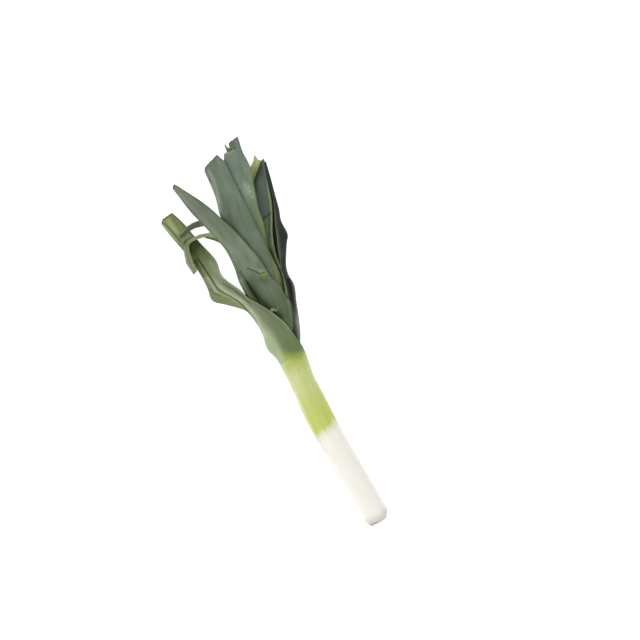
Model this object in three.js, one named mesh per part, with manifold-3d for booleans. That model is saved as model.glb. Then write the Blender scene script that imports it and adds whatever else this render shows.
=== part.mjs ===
// One leek, trimmed for sale and lying on its side.
// The base is at -Y, the leaves reach towards +Y, and +Z is up. Units are millimetres.
// The white shaft is a roll of leaf sheaths. Six leaf blades come out of its top in two ranks, left
// and right. Each blade is folded along its keel, so it has an upper and a lower flank.

import * as THREE from 'three';
import Module from 'manifold-3d';
import { mergeVertices } from 'three/addons/utils/BufferGeometryUtils.js';

const wasm = await Module();
wasm.setup();

// Driving dimensions
const AXIS_HEIGHT = 14.3;      // height of the shaft's axis above the surface that it lies on
const BLADE_THICKNESS = 1.1;   // thickness of a leaf
const NEST_GAP = 0.55;         // clear gap between one rolled sheath and the next
const FOOT_GAP = 0.7;          // clear gap between the shoulder and the foot of a leaf
const SHOULDER = 208;          // distance from the base at which the leaves leave the shaft
const SHOULDER_MIDDLE = 2.4;   // middle of the shaft there, sideways
const SHOULDER_WIDTH = 16.4;   // half of its width there
const SHOULDER_HEIGHT = 14.3;  // half of its height there
const CORE_LENGTH = 5;         // how far the rolled heart reaches above the shoulder
const CORE_RADIUS = 4.5;       // radius of the rolled heart
const PLATE_RADIUS = 11.4;     // radius of the trimmed root plate
const PLATE_LENGTH = 2.6;      // thickness of the root plate
const STUB_COUNT = 16;         // cut root stubs on the plate
const ALONG = 26;              // steps along a blade
const ACROSS = 7;              // steps across one flank of a blade
const ROUND = 32;              // sides of the shaft

// Helpers

function seeded(seed) {
  let state = seed;
  return () => {
    state = (state * 1664525 + 1013904223) % 4294967296;
    return state / 4294967296;
  };
}

// Value at t (0 to 1) of a smooth curve through evenly spaced values.
function smooth(values, t) {
  const last = values.length - 1;
  const place = Math.min(t * last, last - 1e-9);
  const index = Math.floor(place);
  const f = place - index;
  const at = (i) => values[Math.max(0, Math.min(last, i))];
  const [a, b, c, d] = [at(index - 1), at(index), at(index + 1), at(index + 2)];
  const slopeIn = (c - a) / 2;
  const slopeOut = (d - b) / 2;
  const cubic = 2 * b - 2 * c + slopeIn + slopeOut;
  const square = 3 * c - 3 * b - 2 * slopeIn - slopeOut;
  return ((cubic * f + square) * f + slopeIn) * f + b;
}

// Height at x of straight segments through [x, height] pairs.
function broken(pairs, x) {
  for (let i = 1; i < pairs.length; i += 1) {
    if (x <= pairs[i][0]) {
      const f = (x - pairs[i - 1][0]) / (pairs[i][0] - pairs[i - 1][0]);
      return pairs[i - 1][1] + f * (pairs[i][1] - pairs[i - 1][1]);
    }
  }
  return pairs[pairs.length - 1][1];
}

// Closed geometry from a grid of points: rows of equal length, each row a closed ring or an open strip.
function closedTube(rings) {
  const sides = rings[0].length;
  const positions = rings.flat().flatMap((p) => [p.x, p.y, p.z]);
  const faces = [];
  for (let i = 0; i + 1 < rings.length; i += 1) {
    for (let j = 0; j < sides; j += 1) {
      const a = i * sides + j;
      const b = i * sides + ((j + 1) % sides);
      faces.push(a, b, b + sides, a, b + sides, a + sides);
    }
  }
  for (const [ring, turn] of [[0, true], [rings.length - 1, false]]) {
    const middle = rings[ring].reduce((sum, p) => sum.add(p), new THREE.Vector3()).divideScalar(sides);
    const centre = positions.length / 3;
    positions.push(middle.x, middle.y, middle.z);
    for (let j = 0; j < sides; j += 1) {
      const a = ring * sides + j;
      const b = ring * sides + ((j + 1) % sides);
      faces.push(...(turn ? [b, a, centre] : [a, b, centre]));
    }
  }
  const geometry = new THREE.BufferGeometry();
  geometry.setAttribute('position', new THREE.Float32BufferAttribute(positions, 3));
  geometry.setIndex(faces);
  return geometry;
}

// A sheet of points, thickened to both sides along its normals and closed at its rim.
// Both faces are split into triangles alike.
function thickSheet(sheet, thickness) {
  const rows = sheet.length;
  const columns = sheet[0].length;
  const at = (i, j) => sheet[Math.max(0, Math.min(rows - 1, i))][Math.max(0, Math.min(columns - 1, j))];
  const positions = [];
  for (const side of [1, -1]) {
    for (let i = 0; i < rows; i += 1) {
      for (let j = 0; j < columns; j += 1) {
        const along = at(i + 1, j).clone().sub(at(i - 1, j));
        const across = at(i, j + 1).clone().sub(at(i, j - 1));
        const normal = across.cross(along).normalize();
        const p = at(i, j).clone().addScaledVector(normal, side * thickness / 2);
        positions.push(p.x, p.y, p.z);
      }
    }
  }
  const back = rows * columns;
  const faces = [];
  for (let i = 0; i + 1 < rows; i += 1) {
    for (let j = 0; j + 1 < columns; j += 1) {
      const a = i * columns + j;
      const [b, c, d] = [a + 1, a + columns + 1, a + columns];
      faces.push(a, b, c, a, c, d);
      faces.push(back + a, back + c, back + b, back + a, back + d, back + c);
    }
  }
  const rim = [];
  for (let j = 0; j < columns; j += 1) rim.push(j);
  for (let i = 1; i < rows; i += 1) rim.push(i * columns + columns - 1);
  for (let j = columns - 2; j >= 0; j -= 1) rim.push((rows - 1) * columns + j);
  for (let i = rows - 2; i > 0; i -= 1) rim.push(i * columns);
  rim.forEach((a, k) => {
    const b = rim[(k + 1) % rim.length];
    faces.push(a, back + a, back + b, a, back + b, b);
  });
  const geometry = new THREE.BufferGeometry();
  geometry.setAttribute('position', new THREE.Float32BufferAttribute(positions, 3));
  geometry.setIndex(faces);
  return geometry;
}

function toSolid(geometry) {
  const bare = geometry.clone();
  bare.deleteAttribute('normal');
  bare.deleteAttribute('uv');
  const merged = mergeVertices(bare, 1e-4);
  return new wasm.Manifold(new wasm.Mesh({
    numProp: 3,
    vertProperties: new Float32Array(merged.attributes.position.array),
    triVerts: new Uint32Array(merged.index.array),
  }));
}

function toGeometry(solid) {
  const mesh = solid.getMesh();
  const geometry = new THREE.BufferGeometry();
  geometry.setAttribute('position', new THREE.BufferAttribute(mesh.vertProperties, 3));
  geometry.setIndex(new THREE.BufferAttribute(mesh.triVerts, 1));
  return geometry;
}

// What reaches below the surface that the leek lies on is cut off flat.
function restOnSurface(geometry) {
  const ground = new THREE.BoxGeometry(400, 1000, 60);
  ground.translate(0, 250, -30);
  return toGeometry(toSolid(geometry).subtract(toSolid(ground)));
}

function finish(name, geometry, color, roughness) {
  geometry.computeVertexNormals();
  const material = new THREE.MeshStandardMaterial({ color, roughness, metalness: 0 });
  const mesh = new THREE.Mesh(geometry, material);
  mesh.name = name;
  return mesh;
}

// Leaf blades
//
// A blade is a list of stations along the leaf. Each station says where the keel is, where the edge of
// the upper flank is, how far the upper flank arches above the keel (rise) and the lower one below it
// (fall), and how far a flank rolls round from the keel (wrap, degrees; past 90 it curls back down).
// crease is 0 for a round keel and 1 for a sharp one. lower gives the lower edge where it differs.

function bladeSheet(blade) {
  const { stations } = blade;
  const read = (get, t) => smooth(stations.map(get), t);
  const rows = [];
  for (let i = 0; i <= ALONG; i += 1) {
    const t = i / ALONG;
    const keel = new THREE.Vector3(
      read((s) => s.keel[0], t), read((s) => s.keel[1], t), read((s) => s.height ?? AXIS_HEIGHT, t));
    const wrap = THREE.MathUtils.degToRad(read((s) => s.wrap ?? 90, t));
    const crease = read((s) => s.crease ?? 0, t);
    const edges = [
      [read((s) => (s.lower ?? s.upper)[0], t), read((s) => (s.lower ?? s.upper)[1], t),
        -read((s) => s.fall ?? s.rise, t), blade.lowerCut ?? [[0, 0], [1, 0]]],
      [read((s) => s.upper[0], t), read((s) => s.upper[1], t),
        read((s) => s.rise, t), blade.upperCut ?? [[0, 0], [1, 0]]],
    ];
    const nearTip = Math.max(0, (t - 0.8) / 0.2);
    const row = [];
    for (let j = -ACROSS; j <= ACROSS; j += 1) {
      const [edgeX, edgeY, arch, cut] = edges[j < 0 ? 0 : 1];
      const a = Math.abs(j) / ACROSS;
      const turn = a * wrap;
      const out = (1 - crease) * (1 - Math.cos(turn)) / (1 - Math.cos(wrap)) + crease * a;
      row.push(new THREE.Vector3(
        keel.x + (edgeX - keel.x) * out,
        keel.y + (edgeY - keel.y) * out + broken(cut, a) * nearTip ** 2,
        keel.z + arch * Math.sin(turn)));
    }
    rows.push(blade.side === 'left' ? row : row.reverse());
  }
  return rows;
}

function makeBlade(blade) {
  return thickSheet(bladeSheet(blade), BLADE_THICKNESS);
}

// First station of a blade, where it is still rolled round the heart of the shaft. Layer 0 is the outermost.
function rolledStation(layer, side, wrap) {
  const inset = BLADE_THICKNESS / 2 + layer * (BLADE_THICKNESS + NEST_GAP);
  const reach = (side === 'left' ? -1 : 1) * (SHOULDER_WIDTH - inset);
  const turn = THREE.MathUtils.degToRad(wrap);
  const y = SHOULDER + FOOT_GAP;
  return {
    keel: [SHOULDER_MIDDLE + reach, y],
    upper: [SHOULDER_MIDDLE + reach * Math.cos(turn), y],
    rise: SHOULDER_HEIGHT - inset,
    wrap,
  };
}

const outerLeft = {
  side: 'left',
  stations: [
    rolledStation(0, 'left', 165),
    { keel: [-14.6, 215], upper: [16.8, 214], rise: 14.3, wrap: 147 },
    { keel: [-16.8, 222], upper: [16.4, 221], rise: 14.3, wrap: 128 },
    { keel: [-17, 229], upper: [15.4, 229], rise: 14.2, wrap: 116 },
    { keel: [-14.6, 241], upper: [13, 241], rise: 13.8, wrap: 108 },
    { keel: [-14.8, 257], upper: [6.6, 257], rise: 13.7, wrap: 104 },
    { keel: [-17.8, 272], upper: [-2.2, 273], height: 13.5, rise: 12.5, wrap: 95 },
    { keel: [-25, 281], upper: [-9.9, 285], height: 11.8, rise: 10.8 },
    { keel: [-36, 291], upper: [-14.5, 298], height: 9.6, rise: 8.6, crease: 0.2 },
    { keel: [-46, 301], upper: [-22, 313], height: 8, rise: 7.5, crease: 0.3 },
    { keel: [-44.5, 316], upper: [-24.6, 323], height: 7.6, rise: 7, crease: 0.3 },
    { keel: [-44.5, 336], upper: [-22.5, 340], height: 7.4, rise: 6.4, crease: 0.3 },
    { keel: [-48.4, 363], upper: [-28.6, 364], height: 7.4, rise: 5.6, wrap: 115 },
    { keel: [-52.8, 384], upper: [-34, 389], height: 7.6, rise: 5, wrap: 125 },
    { keel: [-56, 401.5], upper: [-40, 407], height: 7.8, rise: 4.6, wrap: 125 },
  ],
  upperCut: [[0, 0], [0.4, 3], [1, 0]],
  lowerCut: [[0, 0], [0.5, 1], [1, -4]],
};

const outerRight = {
  side: 'right',
  stations: [
    rolledStation(1, 'right', 98),
    { keel: [17.3, 215], upper: [7.2, 215], rise: 11.1, wrap: 96, crease: 0.12 },
    { keel: [20.8, 221.5], upper: [12.4, 221.5], rise: 10.4, wrap: 92, crease: 0.15 },
    { keel: [25, 231], upper: [18.4, 230.5], rise: 10.8, crease: 0.1 },
    { keel: [30, 244], upper: [24.8, 242], rise: 12, crease: 0.1 },
    { keel: [34.2, 256], upper: [29.4, 255], rise: 12.2 },
    { keel: [40.6, 273], upper: [33.4, 276], height: 14.4, rise: 11.8 },
    { keel: [40.6, 287], upper: [35.6, 287], height: 13.8, rise: 11 },
    { keel: [44, 299], upper: [38, 298], height: 12, rise: 9.6, lower: [36, 299], fall: 10.4 },
    { keel: [55, 318], upper: [45.3, 319], height: 9, rise: 8.2, lower: [38, 320], fall: 8.1 },
    { keel: [60.8, 327], upper: [49, 328], height: 8, rise: 7.8, lower: [41, 331], fall: 7.7 },
    { keel: [61.3, 343], upper: [54.6, 343], height: 7.6, rise: 7.2, lower: [46, 345], fall: 6.6 },
    { keel: [65.4, 356], upper: [60, 355], height: 7.2, rise: 6.4, lower: [53, 357], fall: 6 },
    { keel: [69, 372], upper: [66, 370], height: 6.8, rise: 5, lower: [60, 373], fall: 5.4 },
    { keel: [73, 389], upper: [70, 388], height: 6.2, rise: 3.8, lower: [67, 390], fall: 4.6 },
    { keel: [77.4, 409], upper: [75.4, 407], height: 5.4, rise: 2.4, lower: [74, 408], fall: 3 },
  ],
};

const pointedLeft = {
  side: 'left',
  stations: [
    rolledStation(2, 'left', 140),
    { keel: [-11, 219], upper: [14.6, 220], rise: 10, wrap: 140 },
    { keel: [-12, 232], upper: [20.6, 232], rise: 9.8, wrap: 140 },
    { keel: [-12.1, 244], upper: [25.6, 244], rise: 10.9, wrap: 140 },
    { keel: [-12, 257], upper: [29.6, 258], rise: 10.9, wrap: 137 },
    { keel: [-11.3, 274], upper: [27.4, 270], rise: 10.9, wrap: 124 },
    { keel: [-10.4, 290], upper: [27.1, 281], rise: 10.8, wrap: 105 },
    { keel: [-9.9, 306], upper: [22.5, 295], height: 14.8, rise: 10.6, wrap: 95 },
    { keel: [-7.3, 321], upper: [21.4, 315], height: 15, rise: 10.3 },
    { keel: [-6.6, 340], upper: [17.6, 334], height: 15.2, rise: 9.8 },
    { keel: [-8.8, 354], upper: [11.6, 353], height: 15.5, rise: 9, crease: 0.1 },
    { keel: [-12.9, 369], upper: [6.6, 371], height: 15.8, rise: 8, crease: 0.2 },
    { keel: [-17, 384], upper: [0.6, 388], height: 16, rise: 6.8, crease: 0.3 },
    { keel: [-21, 398], upper: [-5.5, 402], height: 16.2, rise: 5.4, crease: 0.3 },
    { keel: [-24.2, 416], upper: [-13.2, 416], height: 16.4, rise: 4, crease: 0.3 },
    { keel: [-26.4, 430], upper: [-20.4, 429], height: 16.5, rise: 2.4, crease: 0.3 },
  ],
  upperCut: [[0, 0], [0.7, 3.4], [1, 0]],
};

const wideLeft = {
  side: 'left',
  stations: [
    rolledStation(4, 'left', 150),
    { keel: [-8.6, 232], upper: [11.7, 232], rise: 6.8, wrap: 140 },
    { keel: [-8.8, 254], upper: [18.7, 254], rise: 8, wrap: 128 },
    { keel: [-7.7, 271], upper: [22, 271], rise: 7.9, wrap: 115 },
    { keel: [-6, 290], upper: [25.5, 289], rise: 8, wrap: 105, lower: [25.5, 289] },
    { keel: [-4.6, 309], upper: [30, 306], rise: 8, wrap: 98, lower: [27, 306] },
    { keel: [-2.8, 328], upper: [33.6, 326], rise: 7.9, lower: [27, 326] },
    { keel: [0, 348], upper: [35, 345], height: 14.8, rise: 7.7, lower: [27, 345] },
    { keel: [3, 364], upper: [35.4, 364], height: 15, rise: 7.3, lower: [27, 364] },
    { keel: [6.2, 381], upper: [36, 382], height: 15.2, rise: 6.8, lower: [28, 382] },
    { keel: [10.4, 398], upper: [36.6, 400], height: 15.3, rise: 6.2, lower: [29, 400] },
    { keel: [12.2, 414], upper: [36.8, 417], height: 15.3, rise: 5.8, lower: [30, 416] },
    { keel: [13.2, 428], upper: [36.4, 433], height: 15.2, rise: 5.4, lower: [31, 430] },
  ],
  upperCut: [[0, 0], [0.3, 5], [0.85, 7.5], [1, 0]],
  lowerCut: [[0, 0], [0.4, 3], [1, 0]],
};

const wideRight = {
  side: 'right',
  stations: [
    rolledStation(5, 'right', 150),
    { keel: [11, 232], upper: [-2.6, 232], rise: 5.4, wrap: 135 },
    { keel: [21.4, 254], upper: [1.4, 254], rise: 5.4, wrap: 118 },
    { keel: [27, 271], upper: [6, 271], rise: 5.6, wrap: 105 },
    { keel: [30, 283], upper: [10, 285], rise: 5.5, wrap: 100 },
    { keel: [33.2, 295], upper: [13, 298], rise: 5.4, wrap: 95, height: 14.5 },
    { keel: [34, 309], upper: [16, 312], rise: 5.2, height: 14.7 },
    { keel: [35, 324], upper: [18, 327], rise: 5, height: 14.9 },
    { keel: [40.2, 340], upper: [19.6, 341], rise: 4.8, height: 15.1 },
    { keel: [43.6, 352], upper: [21, 353], rise: 4.6, height: 15.2 },
    { keel: [45.5, 366], upper: [22.6, 367], rise: 4.4, height: 15.4 },
    { keel: [50, 381], upper: [23.6, 382], rise: 4.2, height: 15.5 },
    { keel: [54.5, 396], upper: [25.2, 396], rise: 3.8, height: 15.4 },
    { keel: [59.2, 412], upper: [26.4, 410], rise: 3.4, height: 15.2 },
    { keel: [59.6, 430], upper: [26.4, 424], rise: 2.9, height: 15 },
    { keel: [62.6, 446], upper: [26.4, 431], rise: 2.4, height: 14.8 },
  ],
  upperCut: [[0, 0], [0.43, 3.8], [0.57, -3.6], [0.72, -1.9], [1, 0]],
  lowerCut: [[0, 0], [0.43, 4.2], [0.57, 0.6], [0.72, -1], [1, -6]],
};

const greyRight = {
  side: 'right',
  stations: [
    rolledStation(3, 'right', 100),
    { keel: [17.7, 232], upper: [9.4, 232], rise: 7.5, wrap: 92 },
    { keel: [28, 254], upper: [21.4, 255], rise: 7.6 },
    { keel: [34, 268], upper: [27.3, 270], rise: 7, height: 14.5, lower: [25, 270] },
    { keel: [37.2, 281], upper: [30.8, 280], rise: 6.6, height: 14.2, lower: [26.5, 282] },
    { keel: [39, 290], upper: [33.8, 290], rise: 6, height: 13.6, lower: [28, 291], fall: 6.6 },
    { keel: [39, 300], upper: [35.6, 299], rise: 5, height: 12.4, lower: [29, 300], fall: 6.4 },
    { keel: [39.4, 311], upper: [36.2, 309], rise: 3.6, height: 11, lower: [29.6, 311], fall: 5.8 },
    { keel: [41.8, 325], upper: [36.2, 324], rise: 2.7, height: 9.2, lower: [30, 325], fall: 4.6 },
    { keel: [47.6, 340], upper: [36.2, 339], rise: 2.6, height: 7.8, lower: [31, 340], fall: 3.6 },
    { keel: [56, 353], upper: [35.4, 355], rise: 2.8, height: 7 },
    { keel: [61.4, 365], upper: [38, 370], rise: 2.8, height: 6.8 },
    { keel: [65.4, 377], upper: [45, 382], rise: 2.8, height: 6.6, lower: [42, 384] },
    { keel: [71, 396], upper: [55.4, 395], rise: 2.6, height: 6.4, lower: [50, 398] },
    { keel: [73.6, 404], upper: [63.4, 404], rise: 2.2, height: 6.3, lower: [56, 407] },
    { keel: [77, 414], upper: [72, 413], rise: 1.6, height: 6.2, lower: [60, 413] },
  ],
  lowerCut: [[0, 0], [0.43, 1], [0.57, 7], [0.8, 3.4], [1, -1.5]],
};

// Torn strip of the pointed leaf: two bands that cross over the outer left leaf and hang down beside it.
// Each point is the middle of the band and half of its width as a vector.
const tornBands = [
  [
    { at: [-13.5, 380.5, 16.4], half: [1, 3.6, 1] },
    { at: [-22, 382.4, 16.6], half: [0.4, 3.3, 1] },
    { at: [-32, 382.6, 16.2], half: [0, 3, 1.2] },
    { at: [-40.5, 380.6, 15.4], half: [-0.4, 2.5, 1.2] },
    { at: [-46.6, 378.2, 14.2], half: [-0.6, 1.6, 0.8] },
  ],
  [
    { at: [-9.5, 364.6, 16.2], half: [0.4, 1.6, 0.6] },
    { at: [-20, 369.4, 16.4], half: [0, 1.5, 0.8] },
    { at: [-30, 371, 16.2], half: [0, 1.5, 0.8] },
    { at: [-39, 370.6, 15.6], half: [-0.4, 1.6, 0.8] },
    { at: [-44.8, 366.6, 14.4], half: [-1.6, 1.4, 0.8] },
    { at: [-47.8, 358.5, 12.6], half: [-3.6, 0.6, 0.2] },
    { at: [-49, 349, 11], half: [-4.2, 0.2, -0.4] },
    { at: [-48.7, 341, 10], half: [-3.6, -0.6, -0.6] },
    { at: [-48.2, 336.4, 9.6], half: [-2, -0.6, -0.4] },
  ],
];

function makeBand(points) {
  const steps = 3 * points.length;
  const read = (key, axis, t) => smooth(points.map((p) => p[key][axis]), t);
  const sheet = [];
  for (let i = 0; i <= steps; i += 1) {
    const t = i / steps;
    const at = new THREE.Vector3(read('at', 0, t), read('at', 1, t), read('at', 2, t));
    const half = new THREE.Vector3(read('half', 0, t), read('half', 1, t), read('half', 2, t));
    sheet.push([-1, 0, 1].map((side) => at.clone().addScaledVector(half, side)));
  }
  return thickSheet(sheet, BLADE_THICKNESS);
}

function makeTornLeaf() {
  const pieces = tornBands.map((band) => toSolid(makeBand(band)));
  return toGeometry(pieces.reduce((whole, piece) => whole.add(piece), toSolid(makeBlade(pointedLeft))));
}

// White shaft: rings of [distance from the base, middle x, half width, half height], flat where it rests.
const shaftRings = [
  [2.9, 1.2, 10.6, 10.6],
  [4.2, 1.5, 12.7, 12.6],
  [7, 1.8, 14.1, 13.9],
  [12, 1.9, 14.8, 14.4],
  [30, 1.8, 14.4, 14.5],
  [50, 0.9, 14.5, 14.5],
  [72, -0.4, 15, 14.6],
  [88, -1.4, 15.3, 14.6],
  [105, -2, 15.4, 14.6],
  [132, -2.1, 15.3, 14.5],
  [150, -1.5, 15.2, 14.5],
  [162, -0.8, 14.4, 14.4],
  [172, -0.7, 14, 14.3],
  [183, 0.3, 14.5, 14.3],
  [194, 1.3, 15.3, 14.3],
  [SHOULDER, SHOULDER_MIDDLE, SHOULDER_WIDTH, SHOULDER_HEIGHT],
  [SHOULDER + 0.01, SHOULDER_MIDDLE, CORE_RADIUS, CORE_RADIUS],
  [SHOULDER + CORE_LENGTH, SHOULDER_MIDDLE, CORE_RADIUS - 1, CORE_RADIUS - 1],
];

function ovalRing([y, x, halfWidth, halfHeight]) {
  return Array.from({ length: ROUND }, (_, j) => {
    const angle = (j / ROUND) * 2 * Math.PI;
    return new THREE.Vector3(x + halfWidth * Math.cos(angle), y, AXIS_HEIGHT - halfHeight * Math.sin(angle));
  });
}

function makeShaft() {
  return restOnSurface(closedTube(shaftRings.map(ovalRing)));
}

// Root plate: a low dome with the stubs of the cut roots.
function makeRootPlate() {
  const profile = [[0, 0], [0.45, 0.06], [0.75, 0.28], [0.93, 0.62], [1, 0.9], [0.92, 1], [0, 1]].map(
    ([r, l]) => new THREE.Vector2(r * PLATE_RADIUS, l * PLATE_LENGTH));
  const dome = new THREE.LatheGeometry(profile, 24);
  dome.translate(1.2, 0, AXIS_HEIGHT);
  const random = seeded(5);
  let whole = toSolid(dome);
  for (let i = 0; i < STUB_COUNT; i += 1) {
    const radius = 0.7 + 0.5 * random();
    const reach = 0.3 + 0.8 * random();
    const out = PLATE_RADIUS * 0.66 * Math.sqrt((i + 0.5) / STUB_COUNT);
    const angle = i * 2.4;
    const stub = new THREE.CylinderGeometry(radius, radius * 0.8, reach + 1.2, 6);
    stub.translate(1.2 + out * Math.cos(angle), (1.2 - reach) / 2, AXIS_HEIGHT + out * Math.sin(angle));
    whole = whole.add(toSolid(stub));
  }
  return toGeometry(whole);
}

const leek = new THREE.Group();
leek.add(finish('root_plate', makeRootPlate(), 0xb8b0a4, 0.9));
leek.add(finish('shaft', makeShaft(), 0xf2ede2, 0.45));
leek.add(finish('leaf_outer_left', restOnSurface(makeBlade(outerLeft)), 0x93a680, 0.6));
leek.add(finish('leaf_outer_right', restOnSurface(makeBlade(outerRight)), 0x5d665f, 0.6));
leek.add(finish('leaf_pointed_left', makeTornLeaf(), 0x7d897c, 0.6));
leek.add(finish('leaf_grey_right', makeBlade(greyRight), 0x717d72, 0.6));
leek.add(finish('leaf_wide_left', makeBlade(wideLeft), 0x72837a, 0.6));
leek.add(finish('leaf_wide_right', makeBlade(wideRight), 0x74867b, 0.6));

// The origin is under the middle of the leek, on the surface that it lies on.
const bounds = new THREE.Box3().setFromObject(leek, true);
leek.position.set(-(bounds.min.x + bounds.max.x) / 2, -(bounds.min.y + bounds.max.y) / 2, -bounds.min.z);

export default leek;
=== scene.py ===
import math

import bpy
import numpy as np
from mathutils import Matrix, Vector


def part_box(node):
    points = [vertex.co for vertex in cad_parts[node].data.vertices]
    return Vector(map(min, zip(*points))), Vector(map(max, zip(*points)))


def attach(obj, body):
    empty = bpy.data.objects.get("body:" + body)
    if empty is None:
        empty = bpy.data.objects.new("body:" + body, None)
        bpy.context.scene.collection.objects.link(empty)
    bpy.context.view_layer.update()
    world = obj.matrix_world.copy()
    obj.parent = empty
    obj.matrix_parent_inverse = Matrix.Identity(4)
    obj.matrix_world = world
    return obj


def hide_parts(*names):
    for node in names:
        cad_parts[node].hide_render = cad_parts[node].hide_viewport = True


# One leek, trimmed for sale and lying on its side. It is built in millimetres: the base at -Y, the leaves
# towards +Y, +Z up, and z = 0 is the surface that it lies on. add_mesh() moves it to ORIGIN, in metres.

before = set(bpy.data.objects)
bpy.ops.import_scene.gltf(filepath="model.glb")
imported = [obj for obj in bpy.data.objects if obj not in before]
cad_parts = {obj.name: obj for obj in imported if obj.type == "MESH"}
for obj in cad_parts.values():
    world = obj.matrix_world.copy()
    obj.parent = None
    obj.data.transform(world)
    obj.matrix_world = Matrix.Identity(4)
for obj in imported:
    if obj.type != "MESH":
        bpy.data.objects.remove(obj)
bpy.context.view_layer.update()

# ==== Driving dimensions, the same as the part's ====

AXIS_HEIGHT = 14.3       # height of the shaft's axis above the surface
NEST_STEP = 1.65         # from the middle of one rolled sheath to the middle of the next
FOOT_GAP = 0.7           # from the shoulder to the foot of a rolled leaf
SHOULDER = 208.0         # distance from the base at which the leaves leave the shaft
SHOULDER_MIDDLE = 2.4    # middle of the shaft there, sideways
SHOULDER_WIDTH = 16.4    # half of its width there
SHOULDER_HEIGHT = 14.3   # half of its height there
OUTER_INSET = 0.55       # from the skin of the shaft to the middle of the outermost sheath
PLATE_RADIUS = 11.4      # radius of the trimmed root plate
PLATE_MIDDLE = 1.2       # where the middle of the root plate is, sideways

SHAFT_FROM = 2.9         # where the solid shaft starts, above the root plate
SHAFT_RIGHT = SHOULDER_MIDDLE + SHOULDER_WIDTH   # how far right the shaft reaches
LOW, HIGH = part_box("shaft")
ORIGIN = np.array([HIGH.x * 1000 - SHAFT_RIGHT, LOW.y * 1000 - SHAFT_FROM, 0.0])

# Finer sizes of the leaves

MARGIN_THICKNESS = 0.5   # thickness of a leaf at its margins
FLANK_THICKNESS = 0.85   # across its flanks
KEEL_THICKNESS = 1.2     # and along its keel
KEEL_SWELL = 0.8         # how strongly the flanks thicken towards the keel
KEEL_SHARE = 0.16        # share of a flank over which they do
LOWEST_LEAF = 0.62       # least height of the middle of a leaf above the surface
CUT_FROM = 0.8           # share of a leaf's length from which the shape of its cut end counts
SHARP_ANGLE = 55.0       # faces that meet at more than this many degrees look sharp
ROWS = 230               # steps along a leaf
COLUMNS = 101            # steps across a leaf
APART = 50.0             # distance between two leaves in their textures, so that no two look alike


# ==== Shape helpers ====

def smooth(values, t):
    """Values at t (0 to 1) of a smooth curve through evenly spaced values."""
    values = np.asarray(values, float)
    last = len(values) - 1
    place = np.clip(np.asarray(t) * last, 0, last - 1e-9)
    index = np.floor(place).astype(int)
    f = place - index
    a, b, c, d = (values[np.clip(index + step, 0, last)] for step in (-1, 0, 1, 2))
    slope_in = (c - a) / 2
    slope_out = (d - b) / 2
    cubic = 2 * b - 2 * c + slope_in + slope_out
    square = 3 * c - 3 * b - 2 * slope_in - slope_out
    return ((cubic * f + square) * f + slope_in) * f + b


def step(low, high, x):
    """0 below low, 1 above high, and a soft change between them. low may be the higher of the two."""
    t = np.clip((x - low) / (high - low), 0, 1)
    return t * t * (3 - 2 * t)


def wave(seed, x, y):
    """Smooth random relief between -1 and 1 over the plane, with one bump per unit."""
    size = 256
    table = np.random.default_rng(seed).uniform(-1, 1, (size, size))
    x, y = np.broadcast_arrays(np.asarray(x, float), np.asarray(y, float))
    column, row = np.floor(x).astype(int), np.floor(y).astype(int)
    fx, fy = x - column, y - row
    fx, fy = fx * fx * (3 - 2 * fx), fy * fy * (3 - 2 * fy)

    def at(i, j):
        return table[(column + i) % size, (row + j) % size]

    return (at(0, 0) * (1 - fx) + at(1, 0) * fx) * (1 - fy) + (at(0, 1) * (1 - fx) + at(1, 1) * fx) * fy


def bell(x, middle, width):
    """1 where x is at the middle, and fading to 0 on both sides."""
    return np.exp(-((x - middle) / width) ** 2)


def near(points, line, width):
    """1 on a line of (x, y) points, seen from above, and fading to 0 beside it."""
    distance = np.full(points.shape[:-1], 1e9)
    for (ax, ay), (bx, by) in zip(line, line[1:]):
        dx, dy = bx - ax, by - ay
        t = np.clip(((points[..., 0] - ax) * dx + (points[..., 1] - ay) * dy) / (dx * dx + dy * dy), 0, 1)
        away = np.hypot(points[..., 0] - ax - t * dx, points[..., 1] - ay - t * dy)
        distance = np.minimum(distance, away)
    return bell(distance, 0, width)


def near_spot(points, x, y, half_x, half_y):
    """1 at a spot, seen from above, and fading to 0 around it."""
    return bell(points[..., 0], x, half_x) * bell(points[..., 1], y, half_y)


def facing(grid, row, axis, sign=1):
    """Normals of a sheet, turned so that they point along the axis at the middle of a row."""
    normal = np.cross(np.gradient(grid, axis=1), np.gradient(grid, axis=0))
    normal = normal / np.maximum(np.linalg.norm(normal, axis=-1, keepdims=True), 1e-12)
    return -normal if normal[row, grid.shape[1] // 2, axis] * sign < 0 else normal


def arc_length(points, axis):
    """Distance along a grid's rows or columns, from the first point of each."""
    length = np.linalg.norm(np.diff(points, axis=axis), axis=-1)
    start = np.zeros_like(np.take(length, [0], axis=axis))
    return np.cumsum(np.concatenate([start, length], axis=axis), axis=axis)


def turns(sides):
    """Evenly spaced angles round a circle, as one row."""
    return np.linspace(0, 2 * math.pi, sides, endpoint=False)[None, :]


def add_object(name, data):
    thing = bpy.data.objects.new(name, data)
    bpy.context.scene.collection.objects.link(thing)
    return thing


def add_mesh(name, points, faces, values, body_slot, replaced, material):
    """Adds a piece. values gives a number, or a vector, for each point by name."""
    points = points.reshape(-1, 3)
    mesh = bpy.data.meshes.new(name)
    mesh.from_pydata(((points + ORIGIN) * 0.001).tolist(), [], faces)
    for key, value in values.items():
        kind, field = ("FLOAT", "value") if value.size == len(points) else ("FLOAT_VECTOR", "vector")
        mesh.attributes.new(key, kind, "POINT").data.foreach_set(field, value.ravel())
    mesh.shade_smooth()
    mesh.set_sharp_from_angle(angle=math.radians(SHARP_ANGLE))
    mesh.materials.append(material)
    piece = add_object(name, mesh)
    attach(piece, "root")
    if replaced:
        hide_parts(replaced)


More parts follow.
